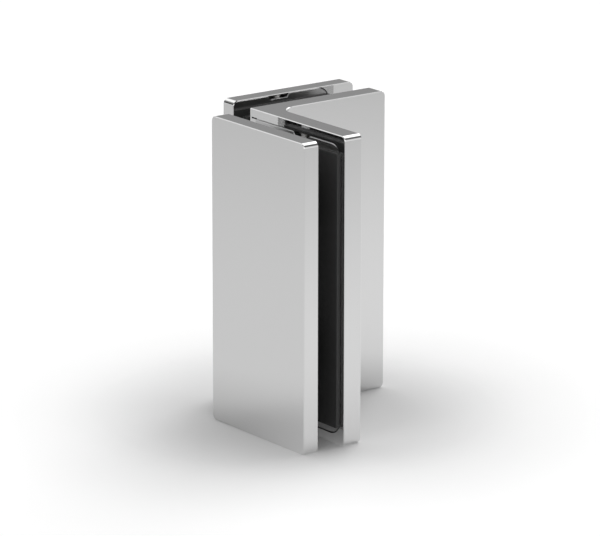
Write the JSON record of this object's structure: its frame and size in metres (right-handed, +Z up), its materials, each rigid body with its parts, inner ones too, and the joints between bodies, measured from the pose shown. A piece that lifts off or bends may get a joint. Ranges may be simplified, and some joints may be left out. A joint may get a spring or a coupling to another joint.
{
  "type": "glass corner connector",
  "caption": "Right-angle glass corner connector: an L-shaped cover inside and a flat plate outside each leg clamp glass panes between black gaskets.",
  "frame": {"origin": "under the middle of the fitting's bounding box, on the level that it stands on", "axes": "+Z up along the corner; the rear leg runs along +X and the front leg along -Y, and the glass is outside the L, on its +Y and -X sides"},
  "size_m": [0.0586, 0.0586, 0.09],
  "materials": {
    "polished_steel": "polished to a soft mirror, edges broken",
    "machined_steel": "fine milled",
    "screw_steel": "turned and threaded, bright",
    "gasket_rubber": "matt black",
    "sleeve_nylon": "moulded, matt black"
  },
  "bodies": {
    "root": {"angle_cover": "polished_steel", "rear_outer_plate": "polished_steel", "rear_clamp_plate": "machined_steel", "rear_inner_gasket": "gasket_rubber", "rear_outer_gasket": "gasket_rubber", "rear_upper_clamp_screw": "screw_steel", "rear_upper_grub_screw": "screw_steel", "rear_upper_sleeve": "sleeve_nylon", "rear_lower_clamp_screw": "screw_steel", "rear_lower_grub_screw": "screw_steel", "rear_lower_sleeve": "sleeve_nylon", "front_outer_plate": "polished_steel", "front_clamp_plate": "machined_steel", "front_inner_gasket": "gasket_rubber", "front_outer_gasket": "gasket_rubber", "front_upper_clamp_screw": "screw_steel", "front_upper_grub_screw": "screw_steel", "front_upper_sleeve": "sleeve_nylon", "front_lower_clamp_screw": "screw_steel", "front_lower_grub_screw": "screw_steel", "front_lower_sleeve": "sleeve_nylon"}
  },
  "joints": []
}
